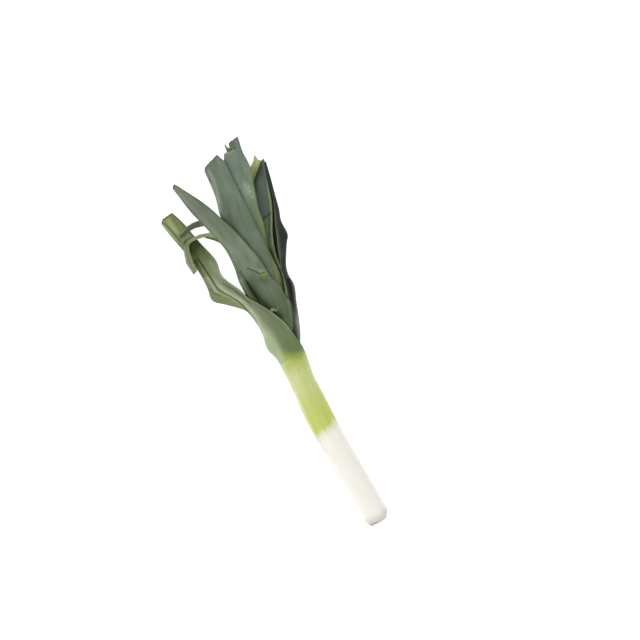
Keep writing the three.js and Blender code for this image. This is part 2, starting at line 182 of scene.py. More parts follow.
def grid_faces(rows, columns, ring=False):
    """Faces between the points of a grid. A ring's last column joins its first."""
    faces = []
    for i in range(rows - 1):
        for j in range(columns if ring else columns - 1):
            a = i * columns + j
            b = i * columns + (j + 1) % columns
            faces.append((a, b, b + columns, a + columns))
    return faces


def add_sheet(name, grid, thickness, outward, values, inner_values, **settings):
    """A closed leaf from its middle surface. outward is the normal, away from the fold."""
    rows, columns = grid.shape[:2]
    offset = outward * np.asarray(thickness)[..., None] / 2
    count = rows * columns
    front = grid_faces(rows, columns)
    i, j = rows // 2, columns // 2
    turned = np.cross(grid[i, j + 1] - grid[i, j], grid[i + 1, j] - grid[i, j])
    if turned @ outward[i, j] < 0:
        front = [face[::-1] for face in front]
    back = [tuple(count + k for k in face[::-1]) for face in front]
    rim = list(range(columns))
    rim += [i * columns + columns - 1 for i in range(1, rows)]
    rim += [(rows - 1) * columns + j for j in range(columns - 2, -1, -1)]
    rim += [i * columns for i in range(rows - 2, 0, -1)]
    band = [(a, a + count, b + count, b) for a, b in zip(rim, rim[1:] + rim[:1])]
    merged = {}
    for key, value in values.items():
        both = [value, inner_values.get(key, value)]
        if np.ndim(value) < 3:
            both = [np.broadcast_to(part, (rows, columns)) for part in both]
        merged[key] = np.concatenate(both)
    add_mesh(name, np.concatenate([grid + offset, grid - offset]), front + back + band, merged, **settings)


# ==== Materials ====

def colour(text):
    """Linear colour of an sRGB hex value."""
    parts = [int(text[i:i + 2], 16) / 255 for i in (1, 3, 5)]
    return [((c + 0.055) / 1.055) ** 2.4 if c > 0.04045 else c / 12.92 for c in parts] + [1.0]


def grey(level):
    return (level, level, level, 1)


class Paint:
    """Builds one material out of shader nodes."""

    def __init__(self, name, roughness, specular):
        self.material = bpy.data.materials.new(name)
        self.material.use_nodes = True
        self.nodes = self.material.node_tree.nodes
        self.links = self.material.node_tree.links
        self.fill(self.nodes["Principled BSDF"], {"Roughness": roughness, "Specular IOR Level": specular})

    def fill(self, node, inputs):
        """Gives each input a number, a colour as text or numbers, or a socket to link to."""
        for key, value in inputs.items():
            if isinstance(value, bpy.types.NodeSocket):
                self.links.new(value, node.inputs[key])
            else:
                node.inputs[key].default_value = colour(value) if isinstance(value, str) else value
        return node

    def add(self, kind, inputs, **settings):
        node = self.nodes.new("ShaderNode" + kind)
        for key, value in settings.items():
            setattr(node, key, value)
        return self.fill(node, inputs)

    def value_of(self, name):
        """A number that each point of the piece carries."""
        return self.add("Attribute", {}, attribute_name=name).outputs["Fac"]

    def noise(self, scale, detail, roughness=0.55, distortion=0.0):
        """Noise over the place on the leaf, which is in millimetres. scale is bumps per millimetre."""
        place = self.add("Attribute", {}, attribute_name="leaf").outputs["Vector"]
        scaled = self.add("VectorMath", {0: place, 1: scale}, operation="MULTIPLY").outputs[0]
        inputs = {"Vector": scaled, "Scale": 1.0, "Detail": detail, "Roughness": roughness}
        return self.add("TexNoise", {**inputs, "Distortion": distortion}).outputs["Fac"]

    def spread(self, value, low, high, out_low=0.0, out_high=1.0):
        """Maps low..high to out_low..out_high, clamped."""
        inputs = {"Value": value, "From Min": low, "From Max": high, "To Min": out_low, "To Max": out_high}
        return self.add("MapRange", inputs).outputs["Result"]

    def maths(self, operation, a, b):
        return self.add("Math", {0: a, 1: b}, operation=operation).outputs[0]

    def mix(self, factor, a, b, blend="MIX"):
        inputs = {"Factor": factor, 6: a, 7: b}
        return self.add("Mix", inputs, data_type="RGBA", blend_type=blend).outputs[2]

    def shade(self, tone, value, low, high):
        """Multiplies a tone by a grain that runs from the colour low to the colour high."""
        return self.mix(1.0, tone, self.mix(self.spread(value, 0.3, 0.7), low, high), "MULTIPLY")

    def bump(self, height, strength, distance, **under):
        inputs = {"Strength": strength, "Distance": distance, "Height": height, **under}
        return self.add("Bump", inputs).outputs["Normal"]

    def done(self, tone, inputs):
        self.fill(self.nodes["Principled BSDF"], {"Base Color": tone, **inputs})
        return self.material


SHEATH_WHITE = "#e0dcd5"     # blanched lower shaft
SHEATH_CREAM = "#dbd8cd"     # its long streaks
SHEATH_ROOT = "#b3a89f"      # pinkish grey at its foot
SHEATH_GREEN = "#abb652"     # light green above it
SHEATH_SOFT = "#b1ba5c"      # streaks there
SHEATH_PALE = "#b8be7f"      # paler green further up
SHEATH_MUTED = "#aeb670"     # streaks there
SHEATH_BRIGHT = "#98a648"    # brighter green where the leaves part from the shaft
SHEATH_OLIVE = "#67773a"     # darker green at its top, on the right
SHEATH_RIM = "#cbcab2"       # pale edge of the outermost sheath
SHEATH_SHADE = "#8c8467"     # shade beside it

LEAF_INSIDE = "#6c7a4a"      # face of a leaf inside its fold
LEAF_FRESH = "#586840"       # deeper green lower down
LEAF_SHADE = "#1d2611"       # painted shade in creases and along edges

PLATE_GREY = "#bdb6ab"       # cork of the root plate
PLATE_PALE = "#d9d4ca"       # its paler patches
PLATE_SPECK = "#716b5f"      # brown specks
PLATE_RING = "#ded8cc"       # pale ring and right side
PLATE_STAIN = "#5d6153"      # greenish stain on the left


def leaf_material(name, face, streak, bloom, light, inner=LEAF_INSIDE, fresh=LEAF_FRESH, young=SHEATH_BRIGHT,
                  dark=LEAF_SHADE, gloss=0.24):
    """Waxy leaf: parallel veins, long streaks, a patchy pale bloom, and the tints of its points, which
    include painted highlights and painted shade.
    """
    paint = Paint(name, 0.5, gloss)
    # Shine fades where shade is painted, so that the painted shade stays dark.
    shine = paint.spread(paint.value_of("dark"), 0.0, 0.8, gloss, 0.02)
    fine = paint.noise((2.6, 0.035, 0.0), 2.0)
    long = paint.noise((0.55, 0.02, 0.0), 4.0, roughness=0.6)
    patch = paint.noise((0.09, 0.035, 0.0), 4.0, distortion=0.4)
    speck = paint.noise((3.5, 1.6, 0.0), 2.0)
    tone = paint.mix(paint.spread(long, 0.35, 0.65, 0.0, 0.55), face, streak)
    tone = paint.mix(paint.spread(patch, 0.42, 0.68, 0.0, 0.6), tone, bloom)
    inside = paint.mix(paint.spread(long, 0.35, 0.7, 0.0, 0.5), inner, streak)
    tone = paint.mix(paint.value_of("inner"), tone, inside)
    streaky = paint.maths("MULTIPLY", paint.value_of("fresh"), paint.spread(long, 0.3, 0.6, 0.7, 1.0))
    tone = paint.mix(streaky, tone, fresh)
    tone = paint.mix(paint.value_of("young"), tone, young)
    # Light tint: pale parts and painted highlights.
    tone = paint.mix(paint.value_of("light"), tone, light)
    tone = paint.shade(tone, fine, grey(0.86), grey(1.1))
    tone = paint.shade(tone, speck, grey(0.95), grey(1.05))
    # Dark tint: painted shade, laid over everything else.
    tone = paint.mix(paint.value_of("dark"), tone, dark)
    ribs = paint.bump(fine, 0.35, 0.0004)
    skin = paint.bump(speck, 0.12, 0.0003, Normal=ribs)
    roughness = paint.spread(patch, 0.35, 0.7, 0.42, 0.6)
    return paint.done(tone, {"Normal": skin, "Roughness": roughness, "Specular IOR Level": shine})


def shaft_material():
    """White blanched sheath that turns light green with an uneven boundary, then brighter at the shoulder."""
    paint = Paint("shaft_skin", 0.34, 0.45)
    fine = paint.noise((1.9, 0.02, 0.0), 2.0)
    long = paint.noise((0.45, 0.012, 0.0), 3.0)
    patch = paint.noise((0.16, 0.06, 0.0), 4.0)
    uneven = paint.spread(patch, 0.25, 0.75, -3.2, 3.2)
    shift = paint.maths("ADD", uneven, paint.spread(long, 0.3, 0.7, -1.2, 1.2))
    height = paint.maths("ADD", paint.value_of("height"), shift)
    collar = paint.maths("ADD", paint.value_of("collar"), shift)
    white = paint.mix(paint.spread(long, 0.35, 0.7, 0.0, 0.7), SHEATH_WHITE, SHEATH_CREAM)
    white = paint.mix(paint.value_of("tint"), white, SHEATH_ROOT)
    green = paint.mix(paint.spread(long, 0.38, 0.62), SHEATH_GREEN, SHEATH_SOFT)
    pale = paint.mix(paint.spread(long, 0.38, 0.62), SHEATH_PALE, SHEATH_MUTED)
    tone = paint.mix(paint.spread(height, 109.0, 118.0, 0.0, 0.4), white, green)
    tone = paint.mix(paint.spread(height, 116.5, 122.5), tone, green)
    tone = paint.mix(paint.spread(height, 140.0, 168.0), tone, pale)
    tone = paint.mix(paint.spread(height, 184.0, 199.0), tone, SHEATH_BRIGHT)
    tone = paint.mix(paint.spread(collar, 200.0, 210.0), tone, SHEATH_OLIVE)
    tone = paint.mix(paint.value_of("light"), tone, SHEATH_RIM)
    tone = paint.shade(tone, fine, (0.96, 0.96, 0.955, 1), grey(1.03))
    tone = paint.mix(paint.value_of("dark"), tone, SHEATH_SHADE)
    glow = {"Subsurface Weight": 0.15, "Subsurface Radius": (1.0, 0.9, 0.6), "Subsurface Scale": 0.003}
    return paint.done(tone, {"Normal": paint.bump(fine, 0.3, 0.0003), **glow})


def plate_material():
    """Cut root plate: greyish cork with brown specks and the ends of the roots."""
    paint = Paint("root_plate_cut", 0.85, 0.2)
    grain = paint.noise((0.9, 0.9, 0.9), 5.0, roughness=0.7)
    speck = paint.noise((2.4, 2.4, 2.4), 3.0)
    tone = paint.mix(paint.spread(grain, 0.35, 0.65), PLATE_GREY, PLATE_PALE)
    tone = paint.mix(paint.spread(speck, 0.56, 0.66, 0.0, 0.75), tone, PLATE_SPECK)
    tone = paint.mix(paint.value_of("light"), tone, PLATE_RING)
    stain = paint.maths("MULTIPLY", paint.value_of("dark"), paint.spread(grain, 0.42, 0.56))
    tone = paint.mix(stain, tone, PLATE_STAIN)
    return paint.done(tone, {"Normal": paint.bump(grain, 0.7, 0.0006)})


# ==== Leaves ====
#
# A leaf is a list of stations: where its keel is, where its upper margin is, how far the upper flank arches
# above the keel (rise) and the lower one below it (fall), and how far a flank rolls round from the keel
# (wrap). crease is 0 for a round keel and 1 for a sharp one. lower gives the lower margin.
#
# Five tints colour a leaf: inner, the face inside its fold; fresh, a deeper green; young, yellow-green;
# light, pale parts and painted highlights; and dark, painted shade in creases, hollows and under overlapping
# edges, and the darker cut ends. A stroke tints the upper flank along a line of (x, y) points, seen from
# above.
# It gives the tint, its strength and width, the line, and if it fades, the y where it starts and the y where
# it is full. A leaf's marks function adds the rest.

TINTS = ("inner", "fresh", "young", "light", "dark")
STRAIGHT = ((0, 0), (1, 0))   # a cut end: how far it reaches beyond the last station, by share of the flank


def station(keel, upper, rise, wrap=90, height=AXIS_HEIGHT, crease=0.0, lower=None, fall=None):
    return {
        "keel": keel, "upper": upper, "rise": rise, "wrap": math.radians(wrap), "height": height,
        "crease": crease, "lower": lower or upper, "fall": rise if fall is None else fall,
    }


def rolled(layer, side, wrap):
    """Station where a leaf is still rolled round the heart of the shaft. Layer 0 is the outermost."""
    inset = OUTER_INSET + layer * NEST_STEP
    reach = side * (SHOULDER_WIDTH - inset)
    edge = SHOULDER_MIDDLE + reach * math.cos(math.radians(wrap))
    y = SHOULDER + FOOT_GAP
    return station((SHOULDER_MIDDLE + reach, y), (edge, y), SHOULDER_HEIGHT - inset, wrap)


def blade_grid(stations, upper_cut, lower_cut, seed):
    """Middle surface of a leaf: rows along it, columns from the lower margin over the keel to the upper one.

    Also gives each row's share of the length, each column's share of its flank, and which flank is the upper.
    """
    t = np.linspace(0, 1, ROWS)[:, None]
    a = np.linspace(-1, 1, COLUMNS)[None, :]
    share = np.abs(a)
    upper = a > 0

    def read(key, axis=None):
        return smooth([s[key] if axis is None else s[key][axis] for s in stations], t)

    wrap, crease = read("wrap"), read("crease")
    out = (1 - crease) * (1 - np.cos(share * wrap)) / (1 - np.cos(wrap)) + crease * share
    cut = np.where(upper, np.interp(share, *zip(*upper_cut)), np.interp(share, *zip(*lower_cut)))
    ragged = 0.35 * wave(seed, share * 40, upper) + 0.2 * wave(seed + 1, share * 90, upper)
    near_tip = np.clip((t - CUT_FROM) / (1 - CUT_FROM), 0, 1) ** 2
    keel_x, keel_y = read("keel", 0), read("keel", 1)
    edge_x = np.where(upper, read("upper", 0), read("lower", 0))
    edge_y = np.where(upper, read("upper", 1), read("lower", 1))
    arch = np.where(upper, read("rise"), -read("fall"))
    grid = np.stack([
        keel_x + (edge_x - keel_x) * out,
        keel_y + (edge_y - keel_y) * out + (cut + ragged) * near_tip,
        read("height") + arch * np.sin(share * wrap),
    ], axis=-1)
    return grid, t, share, upper


def add_leaf(node, body_slot, side, seed, stations, skin, strokes, marks,
             upper_cut=STRAIGHT, lower_cut=STRAIGHT):
    """One leaf, in the place of its node. side is -1 where its keel is on the left and 1 on the right.

    marks(grid, t, share, upper, values) adds tints to values and returns how far the skin is raised.
    """
    grid, t, share, upper = blade_grid(stations, upper_cut, lower_cut, seed)
    outward = facing(grid, ROWS // 2, 0, side)
    middle = COLUMNS // 2
    across = arc_length(grid, 1)
    across = across - across[:, middle:middle + 1]
    along = np.broadcast_to(arc_length(grid, 0)[:, middle:middle + 1], across.shape)
    values = {key: np.zeros(across.shape) for key in TINTS}
    values["leaf"] = np.stack([across + APART * seed, along, np.zeros_like(along)], axis=-1)
    for kind, strength, width, line, *fade in strokes:
        where = upper * step(*fade, grid[..., 1]) if fade else upper
        values[kind] += strength * near(grid, line, width) * where
    waves = 0.10 * wave(seed + 2, across / 5.0, along / 70) + 0.05 * wave(seed + 3, across / 2.2, along / 50)
    relief = waves * step(0.0, 0.12, t) * step(0.0, 0.03, share) + marks(grid, t, share, upper, values)
    values["dark"] += 0.5 * step(0.986, 0.997, t)
    grid = grid + outward * relief[..., None]
    grid[..., 2] = np.maximum(grid[..., 2], LOWEST_LEAF)
    thickness = MARGIN_THICKNESS + (FLANK_THICKNESS - MARGIN_THICKNESS) * step(1.0, 0.7, share)
    thickness = thickness + KEEL_SWELL * bell(share, 0, KEEL_SHARE)
    thickness = np.minimum(thickness, KEEL_THICKNESS)
    inner_values = {"inner": 1.0, "light": 0.4 * values["light"]}
    add_sheet(f"{node}_fine", grid, thickness, outward, values, inner_values,
              body_slot=body_slot, replaced=node, material=leaf_material(f"{node}_skin", **skin))


# Outer left leaf: the sheath that closes round the others, its blade bent over and cut short.

OUTER_LEFT_STATIONS = [
    station((-12.9, 198.6), (16.3, 198.6), 13.55, 165),
    rolled(0, -1, 165),
    station((-14.6, 215), (16.8, 214), 14.3, 147),
    station((-16.8, 222), (16.4, 221), 14.3, 128),
    station((-17, 229), (15.4, 229), 14.2, 116),
    station((-14.6, 241), (13, 241), 13.8, 108),
    station((-14.8, 257), (6.6, 257), 13.7, 104),
    station((-17.8, 272), (-2.2, 273), 12.5, 95, height=13.5),
    station((-25, 281), (-9.9, 285), 10.8, height=11.8),
    station((-36, 291), (-14.5, 298), 8.6, height=9.6, crease=0.2),
    station((-46, 301), (-22, 313), 7.5, height=8, crease=0.3),
    station((-44.5, 316), (-24.6, 323), 7, height=7.6, crease=0.3),
    station((-44.5, 336), (-22.5, 340), 6.4, height=7.4, crease=0.3),
    station((-48.4, 363), (-28.6, 364), 5.6, 115, height=7.4),
    station((-52.8, 384), (-34, 389), 5, 125, height=7.6),
    station((-55.9, 401.5), (-40, 407), 4.6, 125, height=7.8),
]
MIDRIB = [(-39, 350), (-37.4, 337), (-36.3, 326), (-35.5, 315), (-34.7, 309), (-30.8, 301.5), (-26.4, 295),
          (-22, 288), (-18.7, 279.5), (-16.5, 270.5), (-14.3, 257.5), (-12, 240)]
SIDE_CREASE = [(-27, 312), (-23, 305), (-19.8, 301), (-16.5, 293), (-13.9, 286), (-10.5, 276)]
LEFT_CREASE = [(-42.5, 313), (-38, 303), (-32, 297), (-27, 291)]
END_CREASE = [(-53, 401), (-50.6, 393), (-48, 381), (-47, 375)]
END_EDGE = [(-56, 400), (-53.6, 388), (-50.6, 375)]
END_CENTRE = [(-47.3, 402), (-46.8, 392), (-43.6, 380)]
# Painted highlight on the band along the keel, where the leaf faces the light.
KEEL_HIGHLIGHT = [(-13.2, 240), (-13.2, 248), (-11.5, 260), (-13.2, 271), (-16.5, 282), (-23, 293), (-29, 303),
             (-32.5, 312), (-34, 326)]
SIDE_STREAKS = [
    [(12.6, 236), (8.2, 250), (3.6, 262), (-3.4, 275), (-11.5, 286), (-19, 298)],
    [(9.6, 230), (5.4, 248), (0.6, 262), (-6.4, 274), (-14, 284)],
    [(-2.6, 244), (-5.4, 262), (-10.4, 273), (-17.4, 283)],
]
OUTER_LEFT_STROKES = [
    ("dark", 0.4, 2.4, [(-43, 330), (-42.6, 347.5)]),   # painted shadow beside the hanging strip
    ("dark", 0.32, 0.8, [(-42, 403), (-40.7, 386)]),   # streak at the cut end
    ("dark", 0.45, 1.4, [(-39.4, 405), (-35, 388), (-31.5, 374)]),   # painted shade on the right side of the cut end
    ("dark", 0.4, 0.8, LEFT_CREASE),
    *[("dark", 0.22, 0.6, streak) for streak in SIDE_STREAKS],
    ("young", 0.25, 2.0, END_CENTRE),
    ("young", 0.28, 1.8, LEFT_CREASE, 306, 298),
    ("young", 0.4, 1.2, [(-38.5, 309), (-31.5, 299.5), (-24.6, 290.5), (-19, 278.5)]),   # along the bend
    # painted highlight along the keel band
    ("light", 0.75, 2.9, KEEL_HIGHLIGHT, 330, 306),
    ("light", 0.5, 1.8, [(-39, 326), (-38.5, 316), (-37.6, 308)]),   # left of the midrib
    ("light", 0.5, 0.8, [(-54.6, 400), (-52.4, 389), (-49.8, 376)]),   # left of the end's crease
    ("light", 0.25, 3.0, [(-28.3, 339), (-27.5, 330), (-26, 321)]),   # right margin above the bend
    # painted highlight down the middle of the rolled end
    ("light", 0.3, 1.2, END_CENTRE),
]


def outer_left_marks(grid, t, share, upper, values):
    x, y = grid[..., 0], grid[..., 1]
    rib = near(grid, MIDRIB, 0.8) * upper * step(250, 280, y) * step(354, 338, y)
    fold = near(grid, SIDE_CREASE, 0.8) * upper
    crease = near(grid, END_CREASE, 0.7) * upper
    # Hollow: a dip under the hanging strip, painted with its shadow.
    hollow = step(326, 362, y) * step(374, 370, y) * step(-46, -42, x) * upper
    hollow = hollow * (1 - 0.2 * step(-38, -33, x) * step(363, 355, y))
    # Painted shade in the midrib, the creases and the hollow under the hanging strip.
    values["dark"] += 0.8 * rib + 0.45 * fold + 0.7 * crease + 0.9 * hollow
    values["dark"] += 0.3 * step(0.12, 0.03, share) * step(385, 395, y) + 0.5 * near(grid, END_EDGE, 0.8)
    uneven = 2 * wave(41, x / 4, y / 25)
    slanting = step(218, 201, y + uneven + 0.8 * x)
    values["young"] += np.maximum(0.85 * slanting, step(210, 200, y + 0.4 * uneven)) + 0.3 * hollow
    values["young"] += 0.15 * step(372, 382, y)
    values["fresh"] += 0.9 * step(262, 215, y) * step(-9, -2, x) + 0.5 * step(350, 335, y) * step(318, 330, y)
    # Painted highlight on the left flank, where it faces the light.
    flank = step(0, -9, x + 0.25 * np.maximum(216 - y, 0))
    flank = flank * (0.75 + 0.25 * step(213, 205, y)) * step(262, 232, y)
    values["light"] += flank * step(191, 205, y + 0.5 * x + 5) * upper
    # Painted highlight along the upper margin.
    values["light"] += 0.5 * step(0.95, 0.99, share) * step(225, 240, y) * upper
    return -0.6 * rib - 0.3 * fold - 0.35 * crease - 0.9 * hollow * step(0.98, 0.9, share)


def add_outer_left():
    skin = dict(face="#677252", streak="#576440", bloom="#78826a", inner="#6d7a3c", fresh="#5c6c42",
                light="#9ca788", dark="#1b220c")
    add_leaf("leaf_outer_left", "pale_leaf", -1, 11, OUTER_LEFT_STATIONS, skin, OUTER_LEFT_STROKES,
             outer_left_marks, ((0, 0), (0.4, 3), (1, 0)), ((0, 0), (0.5, 1), (1, -4)))


# Outer right leaf: folded close, on the right of the fan; its dark colours are painted shade, for a leaf
# turned away from the light.

OUTER_RIGHT_STATIONS = [
    rolled(1, 1, 98),
    station((17.3, 215), (7.2, 215), 11.1, 96, crease=0.12),
    station((20.8, 221.5), (12.4, 221.5), 10.4, 92, crease=0.15),
    station((25, 231), (18.4, 230.5), 10.8, crease=0.1),
    station((30, 244), (24.8, 242), 12, crease=0.1),
    station((34.2, 256), (29.4, 255), 12.2),
    station((40.6, 273), (33.4, 276), 11.8, height=14.4),
    station((40.6, 287), (35.6, 287), 11, height=13.8),
    station((44, 299), (38, 298), 9.6, height=12, lower=(36, 299), fall=10.4),
    station((55, 318), (45.3, 319), 8.2, height=9, lower=(38, 320), fall=8.1),
    station((60.8, 327), (49, 328), 7.8, height=8, lower=(41, 331), fall=7.7),
    station((61.3, 343), (54.6, 343), 7.2, height=7.6, lower=(46, 345), fall=6.6),
    station((65.4, 356), (60, 355), 6.4, height=7.2, lower=(53, 357), fall=6),
    station((69, 372), (66, 370), 5, height=6.8, lower=(60, 373), fall=5.4),
    station((73, 389), (70, 388), 3.8, height=6.2, lower=(67, 390), fall=4.6),
    station((77.2, 409), (75.4, 407), 2.4, height=5.4, lower=(74, 408), fall=3),
]
SHEATH_BACK = [(19, 214), (25.4, 236), (31, 250), (37, 263), (41, 274)]
OUTER_RIGHT_STROKES = [
    # The two dark strokes are painted shade on the upper flank.
    ("dark", 0.75, 2.2, [(26.5, 240), (29, 247), (31.5, 256), (34, 265), (38, 281)], 232, 256),
    ("light", 0.2, 2.0, [(36, 290), (41, 304), (51, 330), (58, 350), (66, 378)]),   # painted highlight on the upper margin
    ("dark", 0.45, 3.0, [(37, 291), (40, 298), (42.6, 304)]),
]


def outer_right_marks(grid, t, share, upper, values):
    y = grid[..., 1]
    values["young"] += 0.6 * step(220, 208, y)
    values["light"] += 0.85 * near(grid, SHEATH_BACK, 2.8) * step(285, 240, y)
    # Painted highlight along the upper margin.
    values["light"] += 0.6 * step(0.93, 0.98, share) * upper * step(270, 300, y)
    return -0.3 * bell(share, 0.5, 0.05) * step(280, 310, y)


def add_outer_right():
    skin = dict(face="#242924", streak="#191d18", bloom="#343a33", inner="#45503a", young="#6f7a5c",
                light="#767b6a", dark="#0f140b", gloss=0.12)
    add_leaf("leaf_outer_right", "dark_leaf", 1, 23, OUTER_RIGHT_STATIONS, skin, OUTER_RIGHT_STROKES,
             outer_right_marks)


# Pointed left leaf: the long blade in front, with a tear across its upper flank and a torn strip.

POINTED_LEFT_STATIONS = [
    rolled(2, -1, 140),
    station((-11, 219), (14.6, 220), 10, 140),
    station((-12, 232), (20.6, 232), 9.8, 140),
    station((-12.1, 244), (25.6, 244), 10.9, 140),
    station((-12, 257), (29.6, 258), 10.9, 137),
    station((-11.3, 274), (27.4, 270), 10.9, 124),
    station((-10.4, 290), (27.1, 281), 10.8, 105),
    station((-9.9, 306), (22.5, 295), 10.6, 95, height=14.8),
    station((-7.3, 321), (21.4, 315), 10.3, height=15),
    station((-6.6, 340), (17.6, 334), 9.8, height=15.2),
    station((-8.8, 354), (13.2, 353.4), 9, height=15.5, crease=0.1),
    station((-12.9, 369), (6.6, 371), 8, height=15.8, crease=0.2),
    station((-17, 384), (0.6, 388), 6.8, height=16, crease=0.3),
    station((-21, 398), (-5.5, 402), 5.4, height=16.2, crease=0.3),
    station((-24.2, 416), (-13.2, 416), 4, height=16.4, crease=0.3),
    station((-26.4, 430), (-20.4, 429), 2.4, height=16.5, crease=0.3),
]
TEAR = [(5, 313.5), (9.9, 308), (13.7, 302.5), (16.5, 300.8), (19.8, 301.4)]
FLAP = [(8.5, 311.5), (13, 307), (16.5, 304)]
THREADS = [
    [(13.5, 303.8), (17, 301.6), (21, 302)],
    [(14.8, 300), (19.5, 298.4)],
    [(17.5, 304.6), (20.5, 300.4)],
]
VALLEY = [(-2.2, 262), (-1.8, 272), (-2, 284), (-2.6, 298), (-4, 314)]
POCKET = [(-2.6, 300), (-1.6, 290), (0.4, 279), (3, 270), (6.5, 261), (11, 250)]
KEEL_SIDE = [(-8.2, 284), (-7.8, 296), (-7.2, 306)]
POINTED_LEFT_STROKES = [
    # Painted shadow in the pocket under the outer left leaf's margin.
    ("dark", 0.46, 3.6, POCKET, 314, 284),
    ("dark", 0.4, 8.5, POCKET, 310, 290),
    ("dark", 0.3, 3.4, [(12, 296), (15, 292)]),   # painted shadow below the lifted flap at the tear
    ("dark", 0.65, 1.6, [(-18, 428), (-11, 414), (-3.5, 400), (2.5, 386), (8, 371)]),   # painted shade along the right edge
    *[("young", 0.55, 0.55, thread) for thread in THREADS],
    ("light", 0.6, 1.8, [(17, 231), (21.5, 240), (25.4, 251), (28, 262)]),   # painted highlight on the margin at the foot
    ("light", 0.3, 2.2, [(-23, 420), (-14, 385), (-3, 345), (4, 322)], 322, 350),
    ("light", 0.2, 1.6, [(12, 348), (15, 330), (17.5, 316)]),
]


def pointed_left_marks(grid, t, share, upper, values):
    x, y = grid[..., 0], grid[..., 1]
    tear = near(grid, TEAR, 0.65) * upper
    flap = near(grid, FLAP, 1.6) * upper
    valley = near(grid, VALLEY, 1.3) * upper
    below = step(0, -3, (y - 301) + 0.75 * (x - 15)) * step(0, 8, x) * upper
    # Painted shade in the tear, along the valley, beside the pocket, along the right margin and over the left
    # strip.
    values["dark"] += 0.85 * tear + 0.45 * valley + 0.22 * near_spot(grid, 3, 302, 8, 9) * upper
    values["dark"] += step(0.95, 0.99, share) * upper * (0.6 * step(320, 350, y) - 0.35 * step(355, 368, y))
    values["dark"] += 0.12 * step(-3, -6, x)
    values["young"] += 0.3 * near_spot(grid, 17.5, 301, 5, 4) * upper
    values["fresh"] += 0.9 * step(316, 262, y)
    values["light"] += 0.3 * step(-3.5, -7, x) * step(318, 336, y) * step(385, 360, y) * upper
    # Painted highlight on the lifted flap at the tear.
    values["light"] += 0.35 * flap + 0.2 * step(392, 428, y) + 0.45 * near(grid, KEEL_SIDE, 1.8)
    threads = sum(near(grid, thread, 0.6) for thread in THREADS) * upper
    return 0.35 * flap - 0.35 * tear - 0.5 * valley - 0.25 * below + 0.5 * threads


def add_pointed_left():
    skin = dict(face="#5e6a55", streak="#4f5c46", bloom="#727c6c", fresh="#4e5b40",
                young="#82934a", light="#8d947f")
    add_leaf("leaf_pointed_left", "grey_green_leaf", -1, 37, POINTED_LEFT_STATIONS, skin,
             POINTED_LEFT_STROKES, pointed_left_marks, ((0, 0), (0.7, 3.4), (1, 0)))


# Wide left leaf: the broad blade in the middle.

WIDE_LEFT_STATIONS = [
    rolled(4, -1, 150),
    station((-8.6, 232), (11.7, 232), 6.8, 140),
    station((-8.8, 254), (18.7, 254), 8, 128),
    station((-7.7, 271), (22, 271), 7.9, 115),
    station((-6, 290), (25.5, 289), 8, 105),
    station((-4.6, 309), (30, 306), 8, 98, lower=(27, 306)),
    station((-2.8, 328), (33.6, 326), 7.9, lower=(27, 326)),
    station((0, 348), (35, 345), 7.7, height=14.8, lower=(27, 345)),
    station((3, 364), (35.4, 364), 7.3, height=15, lower=(27, 364)),
    station((6.2, 381), (36, 382), 6.8, height=15.2, lower=(28, 382)),
    station((10.4, 398), (36.6, 400), 6.2, height=15.3, lower=(29, 400)),
    station((12.2, 414), (36.8, 417), 5.8, height=15.3, lower=(30, 416)),
    station((13.2, 428), (37.6, 433), 5.4, height=15.2, lower=(31, 430)),
]
# The first line is a raised fold with a painted highlight; the second takes painted light onto the keel's
# rounded side, against its shade.
LIT_FOLD = [(17.6, 428), (17.4, 414), (14.5, 402), (11.5, 391)]
LIT_KEEL = [(3.8, 366), (6, 376), (8, 384), (11, 398), (12.7, 414)]
WIDE_LEFT_STROKES = [
    ("light", 0.5, 1.6, LIT_FOLD),
    ("light", 0.12, 3.2, [(29, 425), (28, 395)]),
    ("dark", 0.1, 5.0, [(22, 392), (22, 365)]),
    # Painted shade down the left side, beside the pointed leaf's edge.
    ("dark", 0.2, 4.5, [(12, 372), (11.5, 350), (16, 325), (20, 305)]),
    ("dark", 0.25, 3.6, [(14, 356), (13.5, 372), (15.5, 388), (18.5, 404)], 404, 376),
]


def wide_left_marks(grid, t, share, upper, values):
    y = grid[..., 1]
    values["fresh"] += 0.9 * step(365, 270, y)
    # Painted light on the keel's rounded side; painted shade along the right margin.
    values["light"] += 0.8 * near(grid, LIT_KEEL, 1.5)
    values["dark"] += 0.3 * step(0.975, 0.995, share) * upper * step(330, 350, y) * step(400, 385, y)
    return 0.35 * near(grid, LIT_FOLD, 2.2) * upper


def add_wide_left():
    skin = dict(face="#5a6855", streak="#4e5b46", bloom="#6b796c", fresh="#4e5d42",
                young="#73843f", light="#8c9480")
    add_leaf("leaf_wide_left", "blue_green_leaf", -1, 53, WIDE_LEFT_STATIONS, skin, WIDE_LEFT_STROKES,
             wide_left_marks, ((0, 0), (0.3, 5), (0.9, 7.2), (1, -4)), ((0, 0), (0.4, 3), (1, 0)))


# Wide right leaf: behind the wide left one, with a ragged end.

